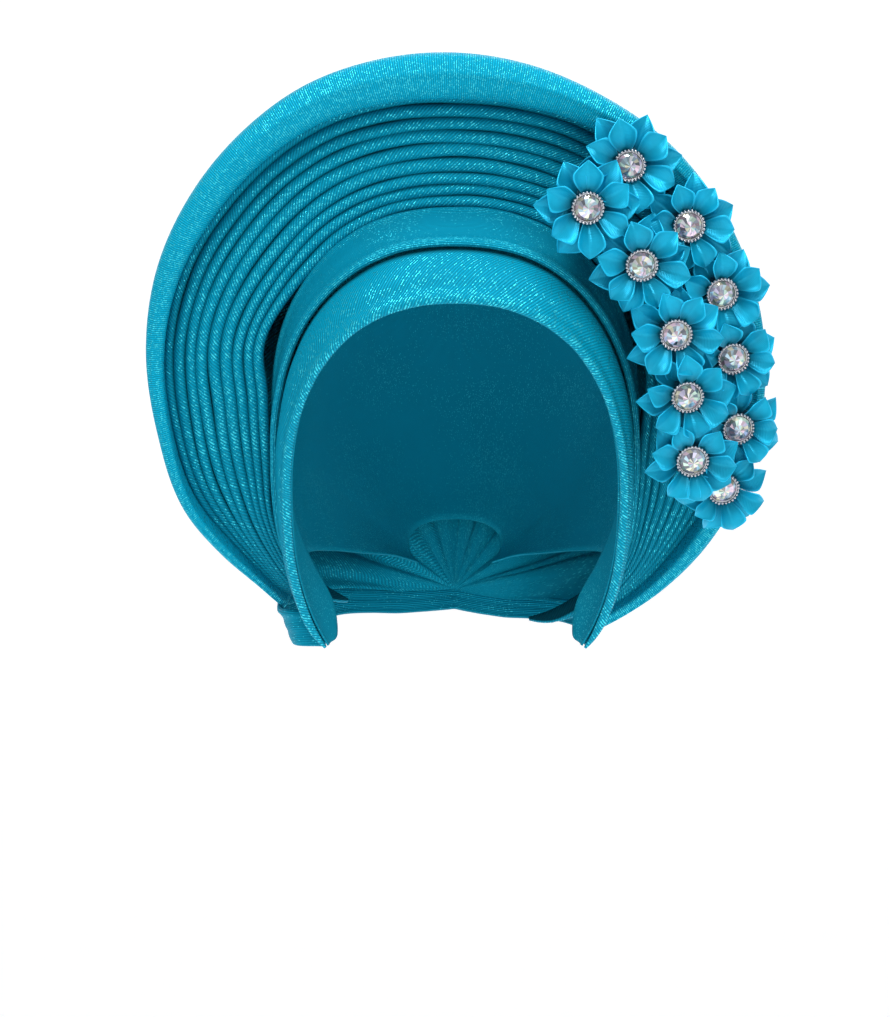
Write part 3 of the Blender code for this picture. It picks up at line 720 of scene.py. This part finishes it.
class GELE_OT_folds(bpy.types.Operator):
    """Make the nine folds of the fan"""

    bl_idname = "gele.folds"
    bl_label = "Folds"

    def execute(self, context):
        """A fold's section runs up one wall, round a nose and down again.

        Along the nose the section follows a flattened half circle, and each
        fold waves a little by itself.
        """
        steps = context.scene.gele_sizes.fold_steps
        edges = np.concatenate(([0.0], np.cumsum(FOLDS[:, 0])))
        for number, (_, setback) in enumerate(FOLDS):
            inner, outer = edges[number], edges[number + 1]
            angles = ring_angles(0.4 * (inner + outer), steps)
            stack = fan_frame(angles)
            tuck = smooth_rows(TUCK_ROWS, angles)[0]
            stack["corner"] = stack["corner"] - tuck[:, None] * stack["outward"]
            length, depth = stack["length"] + tuck, FOLD_DEPTH * stack["share"]
            arc = np.radians(angles) * FAN_RADIUS
            wave = ripple(arc, 40 + number, 0.16, 0.00035) * stack["share"]
            start = inner * length + wave
            width = (outer - inner) * length * 0.96
            turn = np.linspace(-1.0, 1.0, 15) * math.pi / 2.0
            across = np.concatenate(([0.10, 0.02], 0.5 + 0.5 * np.sin(turn), [0.98, 0.90]))
            inward = NOSE_ROUND * (1.0 - np.cos(turn))
            inward = np.concatenate(([0.0, 0.0], inward, [0.0, 0.0]))
            along = start[:, None] + across * width[:, None]
            nose = setback * depth + ripple(arc, 90 + number, 0.22, 0.0004)
            deep = nose[:, None] + inward * width[:, None]
            deep[:, 0] = deep[:, -1] = depth
            deep[:, 1] = deep[:, -2] = 0.6 * depth
            close = np.abs(np.linspace(-1.0, 1.0, steps))
            close = np.clip((close - FOLD_OPEN) / (1.0 - FOLD_OPEN), 0.0, 1.0)
            deep += 0.85 * close[:, None] ** 2 * (depth[:, None] - deep)
            points = stack_points(stack, along, deep)
            # Painted shade: darkest in the valleys between noses and on the hidden walls, with
            # more painted shade on the three outer folds under the rim and towards the fan's low
            # ends
            painted_shade = np.clip(inward / NOSE_ROUND, 0.0, 1.0) ** 1.6
            painted_shade[[0, 1, -2, -1]] = 1.0
            rim_shade = 0.20 * max(0.0, (number - 5) / 3.0)
            low_shade = 0.22 * np.clip((np.abs(angles) - 100.0) / 40.0, 0.0, 1.0)
            painted_shade = np.maximum(rim_shade, low_shade[:, None]) + (0.78 - rim_shade) * painted_shade
            # Painted glints gather on the middle of each fold's nose
            crest_glint = 0.5 - 0.5 * np.cos(2.0 * math.pi * across)
            crest_glint = np.broadcast_to(0.45 * crest_glint, along.shape)
            label = len(FOLDS) - number
            add_cloth("fold_cloth_%d" % label, points, 0.0005, cloth_of("fold_twill"),
                      ["pleat_%d" % label], painted_shade, crest_glint)
        return {"FINISHED"}


class GELE_OT_rim(bpy.types.Operator):
    """Make the rolled rim round the fan"""

    bl_idname = "gele.rim"
    bl_label = "Rim"

    def execute(self, context):
        """The rim is a broad roll, highest near its inner edge."""
        angles = ring_angles(1.0, 2 * context.scene.gele_sizes.fold_steps)
        stack = fan_frame(angles)
        length, width = stack["length"], stack["rim_width"]
        depth = RIM_DEPTH * stack["share"]
        taper = depth * FAN_LEAN * np.maximum(0.0, np.cos(stack["theta"]))
        turn = np.linspace(0.0, 1.0, 25)
        across = 0.5 - 0.5 * np.cos(math.pi * turn)
        crown = np.sin(math.pi * turn) ** 0.55
        arc = np.radians(angles) * FAN_RADIUS
        along = length[:, None] + 0.0002 + across * (width[:, None] - 0.0002)
        bulge = np.minimum(0.45 * width, 0.8 * LIP)
        deep = bulge[:, None] * (1.0 - crown) - stack["lip"][:, None]
        deep += ripple(arc, 7, 0.2, 0.0004)[:, None] * crown
        deep -= 0.0007 * np.exp(-((turn - 0.60) / 0.05) ** 2)
        first = np.stack((length + 0.1 * width, length + 0.03 * width), axis=1)
        last = np.stack((length + width - 0.45 * taper, length + width - taper), axis=1)
        along = np.hstack((first, along, last))
        walls = np.stack((depth, 0.5 * depth), axis=1)
        deep = np.hstack((walls, deep, walls[:, ::-1]))
        points = stack_points(stack, along, deep)
        add_cloth("rim_cloth", points, 0.0006, cloth_of("rim_twill"),
                  ["rim_roll"])
        return {"FINISHED"}


def wrap_grid(round_steps, back_steps, gathers):
    """Return the back wrap from behind the rim down to the nape.

    Each row is the rim's outline made smaller, moved back and down and
    leant less, with a cosine of soft gathers round it.
    """
    angles = ring_angles(1.0, round_steps)
    stack = fan_frame(angles)
    theta, rim_out = stack["theta"], stack["rim_out"]
    deep = RIM_DEPTH * stack["share"]
    taper = deep * FAN_LEAN * np.maximum(0.0, np.cos(theta))
    behind = (stack["length"] + stack["rim_width"]) * np.sin(stack["turn"])
    behind = behind + deep * np.cos(stack["turn"])
    rise = (rim_out - taper) * np.cos(theta)
    start = np.stack((
        (rim_out - taper) * np.sin(theta),
        -FAN_FORWARD - FAN_LEAN * rise + stack["back"],
        -FAN_DROP + rise,
    ), axis=-1) + FAN_INTO * behind[:, None]
    rows = [start]
    for size, centre_y, centre_z, lean, _ in WRAP_ROWS:
        radius = size * rim_out
        rise = radius * np.cos(theta)
        rows.append(np.stack((
            radius * np.sin(theta),
            centre_y * FAN_RADIUS - lean * rise,
            centre_z * FAN_RADIUS + rise,
        ), axis=-1))
    rows = np.stack(rows, axis=0)
    table = np.column_stack((np.arange(len(rows)), rows.reshape(len(rows), -1)))
    place = np.linspace(0.0, len(rows) - 1, back_steps)
    grid = smooth_rows(table, place).T.reshape(back_steps, round_steps, 3)
    grid = grid.transpose(1, 0, 2)
    depth = np.interp(place, np.arange(1, len(rows)), WRAP_ROWS[:, 4])
    wave = np.cos(gathers * theta)[:, None] * depth * GATHER_DEPTH
    wave = wave + ripple(theta * 0.3, 5, 0.11, 0.0012)[:, None] * depth
    away = grid - np.array((0.0, 0.02, -0.10))
    away /= np.linalg.norm(away, axis=-1, keepdims=True)
    return grid + away * wave[..., None]


class GELE_OT_back(bpy.types.Operator):
    """Make the wrap that closes the back"""

    bl_idname = "gele.back"
    bl_label = "Back wrap"

    def execute(self, context):
        """The wrap narrows from the rim to the nape in soft gathers."""
        points = wrap_grid(241, 120, context.scene.gele_sizes.gathers)
        add_cloth("back_cloth", points, 0.0008, cloth_of("back_twill"),
                  ["back_wrap"], offset=-1.0)
        return {"FINISHED"}


class GELE_OT_tie(bpy.types.Operator):
    """Make the tie at the lower left that runs behind the neck"""

    bl_idname = "gele.tie"
    bl_label = "Tie"

    def execute(self, context):
        """The tie starts just above the wrap's edge and leans in to the neck."""
        wrap = wrap_grid(61, 33, 0)
        hidden = 0.0020
        rise = np.array((0.0, 0.0, hidden))
        left, right = wrap[0] + rise, wrap[-1][::-1] + rise
        knot = KNOT_ROWS * FAN_RADIUS + np.array((0.0, -0.0015, 0.0035))
        path = np.concatenate((knot, left, right[1:]))
        far = np.concatenate(([0.0], np.cumsum(np.linalg.norm(np.diff(path, axis=0), axis=1))))
        table = np.column_stack((far, path))
        keep = np.concatenate(([True], np.diff(far) > 0.0015))
        path = smooth_rows(table[keep], np.linspace(0.0, far[-1], 160)).T
        share = np.linspace(1.0, 0.45, len(path))[:, None]
        share = share * np.clip(np.linspace(8.0, 0.3, len(path)), 0.0, 1.0)[:, None]
        inward = -path[:, :2] + np.array((0.0, path[:, 1].mean()))
        inward /= np.linalg.norm(inward, axis=1, keepdims=True)
        down = np.linspace(0.0, 1.0, 18)
        roll = 0.0014 * np.exp(-((down - 0.10) / 0.06) ** 2)
        outward = 0.0014 + roll - TIE_LEAN * TIE_HEIGHT * down
        outward = outward + 0.0004 * np.sin(math.pi * down * 3.0) ** 2
        points = np.repeat(path[:, None], len(down), axis=1)
        points[..., :2] -= inward[:, None] * (outward * share)[..., None]
        points[..., 2] -= (TIE_HEIGHT + hidden) * down * share
        add_cloth("tie_cloth", points[::-1, ::-1], 0.0012, cloth_of("crown_twill"),
                  ["tie_band"])
        return {"FINISHED"}


def flower_frame(row):
    """Return a flower's place and turn, and how far it stands off."""
    across, up, tier = row[0] * FAN_RADIUS, row[1] * FAN_RADIUS, int(row[2])
    proud = TIER_STANDOFF[tier]
    place = Vector((across, -FAN_FORWARD - FAN_LEAN * up - proud, up - FAN_DROP))
    away = Vector((across, 0.0, up)).normalized()
    ahead = Vector((0.0, -1.0, -FAN_LEAN)).normalized()
    tilt = TIER_TILT[tier]
    facing = (ahead * math.cos(tilt) + away * math.sin(tilt)).normalized()
    right = Vector((1.0, 0.0, 0.0))
    right = (right - facing * right.dot(facing)).normalized()
    turn = Matrix((right, facing.cross(right), facing)).transposed()
    return Matrix.Translation(place) @ turn.to_4x4(), proud


def petal_grid(length, width, curl, lift, twist):
    """Return one folded ribbon petal as a grid, along by across.

    The half width swells to its widest past the middle and closes to a
    point. Across, the ribbon is cupped so that both edges stand up.
    """
    t, w = np.meshgrid(np.linspace(0.0, 1.0, 17), np.linspace(-1.0, 1.0, 13), indexing="ij")
    swell = 0.32 + 0.68 * np.sin(0.5 * math.pi * np.minimum(t / 0.6, 1.0))
    tip = 1.0 - np.clip((t - 0.6) / 0.4, 0.0, 1.0) ** 1.35
    half = width * swell * tip
    along = t * length
    cup = np.abs(w) ** 1.8 * half * (0.34 + 0.36 * (1.0 - t))
    crease = 0.0005 * np.exp(-((w / 0.14) ** 2)) * np.clip(3.0 * (1.0 - t), 0.0, 1.0)
    height = lift * np.sin(t * math.pi * 0.66) + cup - curl * t**3 - crease
    side = w * half * (1.0 - 0.12 * np.abs(w) ** 2)
    side, height = side - height * twist, height + side * twist * 0.5
    # Mask of the upturned edges, which the satin paints as a highlight
    edge = np.clip((np.abs(w) - 0.80) / 0.20, 0.0, 1.0) ** 2
    return np.stack((along, side, height), axis=-1), np.stack((along, w * half), axis=-1), edge


def lathe(profile, steps):
    """Return a profile of reach and height turned about the local axis."""
    around = np.linspace(0.0, 2.0 * math.pi, steps + 1)[:-1]
    profile = np.asarray(profile)
    points = np.stack((
        profile[:, :1] * np.cos(around), profile[:, :1] * np.sin(around),
        np.repeat(profile[:, 1:], steps, axis=1)), axis=-1)
    return points, grid_faces(len(profile), steps, closed=True)


def flower_mesh(name, matrix, size, proud, turn, petals, seed):
    """Return a flower of two layers of folded petals round a small hub."""
    rng = np.random.default_rng(seed)
    # Start, reach as a share of the size, shift in petals, height, lift, curl
    layers = (
        (0.0056, 1.03, 0.0, -0.0006, 0.0032, 0.0026),
        (0.0056, 0.91, 0.5, 0.0014, 0.0056, 0.0010),
    )
    points, faces, uvs, edges, shades = [], [], [], [], []
    count = 0
    for start, reach, shift, base, lift, curl in layers:
        for petal in range(petals):
            angle = turn + (petal + shift) * 2.0 * math.pi / petals
            angle += rng.uniform(-0.08, 0.08)
            length = (size * reach * rng.uniform(0.93, 1.05)) - start
            width = PETAL_WIDTH * size / PETAL_REACH * rng.uniform(0.90, 1.08)
            grid, uv, edge = petal_grid(
                length, width, curl + rng.uniform(-0.001, 0.0012),
                lift * rng.uniform(0.8, 1.2), rng.uniform(-0.25, 0.25))
            x, y = grid[..., 0] + start, grid[..., 1]
            cosine, sine = math.cos(angle), math.sin(angle)
            placed = np.stack((x * cosine - y * sine, x * sine + y * cosine,
                               grid[..., 2] + base), axis=-1)
            points.append(placed.reshape(-1, 3))
            faces.append(grid_faces(*grid.shape[:2], start=count))
            uvs.append(uv.reshape(-1, 2))
            # Painted highlight along the edges and painted shade towards each petal's base
            edges.append(edge.ravel())
            shade = np.clip(1.0 - uv[..., 0] / (0.45 * length), 0.0, 1.0)
            shades.append(0.9 * shade.ravel() ** 1.5)
            count += points[-1].shape[0]
    hub, hub_faces = lathe([
        (0.0, 0.0004), (0.0075, 0.0002), (0.0078, -0.0008),
        (0.0060, -0.0016), (FOOT_RADIUS, 0.001 - proud), (0.0, 0.001 - proud)], 24)
    points.append(hub.reshape(-1, 3))
    faces.append(hub_faces + count)
    uvs.append(hub[..., :2].reshape(-1, 2))
    # The hub has no painted highlight and is painted in full shade
    edges.append(np.zeros(len(points[-1])))
    shades.append(np.ones(len(points[-1])))
    points = np.concatenate(points)
    placed = points @ np.array(matrix.to_3x3()).T + np.array(matrix.translation)
    mesh = mesh_from(name, placed, np.concatenate(faces), np.concatenate(uvs))
    add_marks(mesh, {"edge": np.concatenate(edges), "painted_shade": np.concatenate(shades)})
    return mesh


class GELE_OT_flowers(bpy.types.Operator):
    """Make the ribbon flowers"""

    bl_idname = "gele.flowers"
    bl_label = "Flowers"

    def execute(self, context):
        """Each flower keeps its node's place, facing and size."""
        sizes = context.scene.gele_sizes
        satin = shared("ribbon_satin", satin_material, tuple(context.scene.gele_colours.ribbon))
        for number, row in enumerate(FLOWER_ROWS):
            label = "%02d" % (number + 1)
            matrix, proud = flower_frame(row)
            mesh = flower_mesh("petals_" + label, matrix, row[3] * sizes.flower_radius,
                               proud, math.radians(row[4]), sizes.petals, 200 + number)
            piece = add_piece("petals_" + label, mesh, satin, ["flower_" + label])
            solid = piece.modifiers.new("ribbon", "SOLIDIFY")
            solid.thickness = 0.00035
            solid.offset = 0.0
            areas = np.empty(len(mesh.polygons))
            mesh.polygons.foreach_get("area", areas)
        return {"FINISHED"}


# Share of the stone's radius and height in metres of each ring of facets
STONE_LEVELS = (
    (0.02, 0.0060), (0.42, 0.0052), (0.78, 0.0043), (1.00, 0.0034), (1.00, 0.0029),
    (0.30, 0.0016),
)
FACETS = 16
BEADS = 27
BEAD_RADIUS = 0.00072
BEAD_HEIGHT = 0.0036
# Facet colours: the coating's tints mixed with painted reflections, white and dark grey among
# them
STONE_COATS_AND_REFLECTIONS = np.array([
    (0.95, 0.72, 0.85), (0.78, 0.74, 0.98), (0.70, 0.95, 0.80), (0.98, 0.95, 0.72),
    (0.95, 0.96, 1.00), (0.35, 0.38, 0.45), (0.60, 0.85, 0.98),
])


def bead_ring(reach, radius, height, count):
    """Return small beads side by side round a ring, as one set of arrays."""
    profile = [(radius * math.sin(a), radius * math.cos(a))
               for a in np.linspace(0.0001, math.pi - 0.0001, 7)]
    bead, faces = lathe(profile, 9)
    bead = bead.reshape(-1, 3)
    angles = np.arange(count) * 2.0 * math.pi / count
    centres = np.stack((reach * np.cos(angles), reach * np.sin(angles),
                        np.full(count, height)), axis=-1)
    points = (centres[:, None] + bead[None]).reshape(-1, 3)
    shifts = np.arange(count)[:, None, None] * len(bead)
    return points, (faces[None] + shifts).reshape(-1, 4)


class GELE_OT_stones(bpy.types.Operator):
    """Make the settings and their stones"""

    bl_idname = "gele.stones"
    bl_label = "Stones"

    def execute(self, context):
        """A cup with a ring of beads holds a stone of sixteen facets a row."""
        sizes = context.scene.gele_sizes
        metal = shared("setting_metal", metal_material, tuple(context.scene.gele_colours.metal))
        crystal = shared("coated_crystal", stone_material)
        reach, stone = sizes.setting_radius, sizes.stone_radius
        cup, cup_faces = lathe([
            (0.0001, 0.0009), (stone * 0.9, 0.0012), (stone + 0.0001, 0.0028),
            (stone + 0.0003, 0.0034), (reach - 0.0006, 0.0032), (reach - 0.0006, 0.0006),
            (reach - 0.0016, 0.0003), (0.0001, 0.0003)], 32)
        cup = cup.reshape(-1, 3)
        beads, bead_faces = bead_ring(reach - 0.0004, BEAD_RADIUS, BEAD_HEIGHT, BEADS)
        ring_points = np.concatenate((cup, beads))
        ring_faces = np.concatenate((cup_faces, bead_faces + len(cup)))
        rings = []
        for level, (share, height) in enumerate(STONE_LEVELS):
            around = (np.arange(FACETS) + 0.5 * (level % 2)) * 2.0 * math.pi / FACETS
            rings.append(np.stack((
                share * stone * np.cos(around), share * stone * np.sin(around),
                np.full(FACETS, height)), axis=-1))
        points = np.array(rings).reshape(-1, 3)
        quads = grid_faces(len(STONE_LEVELS), FACETS, closed=True)
        faces = [list(map(int, quad)) for quad in quads[:, ::-1]]
        faces.append(list(range(FACETS)))
        faces.append(list(range(len(points) - 1, len(points) - FACETS - 1, -1)))
        for number, row in enumerate(FLOWER_ROWS):
            label = "%02d" % (number + 1)
            matrix, _ = flower_frame(row)
            turn = np.array(matrix.to_3x3()).T
            place = np.array(matrix.translation)
            mesh = mesh_from("setting_ring_" + label, ring_points @ turn + place, ring_faces)
            add_piece("setting_ring_" + label, mesh, metal, ["setting_" + label])
            mesh = bpy.data.meshes.new("cut_stone_" + label)
            mesh.from_pydata((points @ turn + place).tolist(), [], faces)
            mesh.validate()
            rng = np.random.default_rng(700 + number)
            # Each facet's colour is partly the coating's tint and partly painted reflection; the
            # random brightness paints bright and dark facets
            coat_and_reflection = STONE_COATS_AND_REFLECTIONS[rng.integers(0, len(STONE_COATS_AND_REFLECTIONS), len(mesh.polygons))]
            coat_and_reflection = coat_and_reflection * rng.uniform(0.25, 1.0, (len(coat_and_reflection), 1))
            layer = mesh.attributes.new("coat_and_reflection", "FLOAT_COLOR", "FACE")
            colours = np.column_stack((coat_and_reflection, np.ones(len(coat_and_reflection))))
            layer.data.foreach_set("color", colours.astype(np.float32).ravel())
            add_piece("cut_stone_" + label, mesh, crystal, ["stone_" + label])
        return {"FINISHED"}


class GELE_OT_stage(bpy.types.Operator):
    """Make the pale floor, the lights and the camera"""

    bl_idname = "gele.stage"
    bl_label = "Stage"

    def execute(self, context):
        """A sweep curves up behind the piece, under large soft lights."""
        scene = context.scene
        flat, curved, radius, length = 0.55, 0.20, 1.2, 16.0
        place = np.linspace(0.0, 1.0, 60)
        bend = np.clip((place - flat) / curved, 0.0, 1.0) * math.pi / 2.0
        wall = np.maximum(place - flat - curved, 0.0) * length
        y = np.minimum(place, flat) / flat * length - 12.0 + radius * np.sin(bend)
        z = radius * (1.0 - np.cos(bend)) + wall - 0.9
        across = np.linspace(-14.0, 14.0, 9)
        points = np.stack((
            np.repeat(across[:, None], len(place), axis=1),
            np.repeat(y[None], len(across), axis=0),
            np.repeat(z[None], len(across), axis=0)), axis=-1)
        mesh = mesh_from("floor_sweep", points, grid_faces(*points.shape[:2]))
        floor = bpy.data.objects.new("floor_sweep", mesh)
        white = Nodes("stage_white")
        white.fix({
            "Base Color": (0.86, 0.86, 0.86, 1.0), "Roughness": 0.9,
            "Emission Color": (1.0, 1.0, 1.0, 1.0), "Emission Strength": 0.36,
        })
        mesh.materials.append(white.material)
        scene.collection.objects.link(floor)
        world = bpy.data.worlds.new("studio")
        world.use_nodes = True
        world.node_tree.nodes["Background"].inputs[0].default_value = (0.95, 0.97, 1.0, 1.0)
        world.node_tree.nodes["Background"].inputs[1].default_value = 0.55
        scene.world = world
        scene.view_settings.view_transform = "Standard"
        # Name, place and size in metres, power in watts
        lights = (
            ("key", (0.0, -1.4, 1.75), 0.8, 28.0),
            ("fill", (1.0, -2.0, 0.3), 1.4, 5.0),
            ("top", (0.1, -0.5, 1.9), 0.8, 22.0),
            ("back", (0.4, 1.8, 0.9), 1.5, 10.0),
        )
        for name, spot, size, power in lights:
            lamp = bpy.data.lights.new(name, "AREA")
            lamp.size = size
            lamp.energy = power
            lamp_object = bpy.data.objects.new(name, lamp)
            lamp_object.location = spot
            aim = Vector((0.0, 0.0, -0.07)) - Vector(spot)
            lamp_object.rotation_euler = aim.to_track_quat("-Z", "Y").to_euler()
            scene.collection.objects.link(lamp_object)
        camera_data = bpy.data.cameras.new("photo_view")
        camera_data.sensor_width = SENSOR
        camera_data.lens = SENSOR * CAMERA_DISTANCE / FRAME_HEIGHT
        camera = bpy.data.objects.new("photo_view", camera_data)
        camera.location = (CAMERA_X, -CAMERA_DISTANCE, CAMERA_Z)
        camera.rotation_euler = (math.pi / 2.0, 0.0, 0.0)
        scene.collection.objects.link(camera)
        scene.camera = camera
        return {"FINISHED"}


OPERATORS = (
    GELE_OT_stage, GELE_OT_cap, GELE_OT_bands, GELE_OT_folds, GELE_OT_rim,
    GELE_OT_back, GELE_OT_tie, GELE_OT_flowers, GELE_OT_stones,
)


class GELE_PT_panel(bpy.types.Panel):
    """Lists the pieces of the head tie"""

    bl_idname = "GELE_PT_panel"
    bl_label = "Gele head tie"
    bl_space_type = "VIEW_3D"
    bl_region_type = "UI"
    bl_category = "Gele"

    def draw(self, context):
        """Draw the sizes, the colours and a button for each piece."""
        for name in ("gele_sizes", "gele_colours"):
            group = getattr(context.scene, name)
            for prop in group.bl_rna.properties:
                if not prop.is_readonly and prop.identifier != "name":
                    self.layout.prop(group, prop.identifier)
        for operator in OPERATORS:
            self.layout.operator(operator.bl_idname)


CLASSES = (GeleSizes, GeleColours, *OPERATORS, GELE_PT_panel)


def register():
    """Register the classes and hang the property groups on the scene."""
    for cls in CLASSES:
        bpy.utils.register_class(cls)
    bpy.types.Scene.gele_sizes = PointerProperty(type=GeleSizes)
    bpy.types.Scene.gele_colours = PointerProperty(type=GeleColours)


def unregister():
    """Take the property groups and the classes away again."""
    del bpy.types.Scene.gele_colours
    del bpy.types.Scene.gele_sizes
    for cls in reversed(CLASSES):
        bpy.utils.unregister_class(cls)


def main():
    register()
    bpy.ops.gele.stage()
    bpy.ops.gele.cap()
    bpy.ops.gele.bands()
    bpy.ops.gele.folds()
    bpy.ops.gele.rim()
    bpy.ops.gele.back()
    bpy.ops.gele.tie()
    bpy.ops.gele.flowers()
    bpy.ops.gele.stones()


if __name__ == "__main__":
    main()
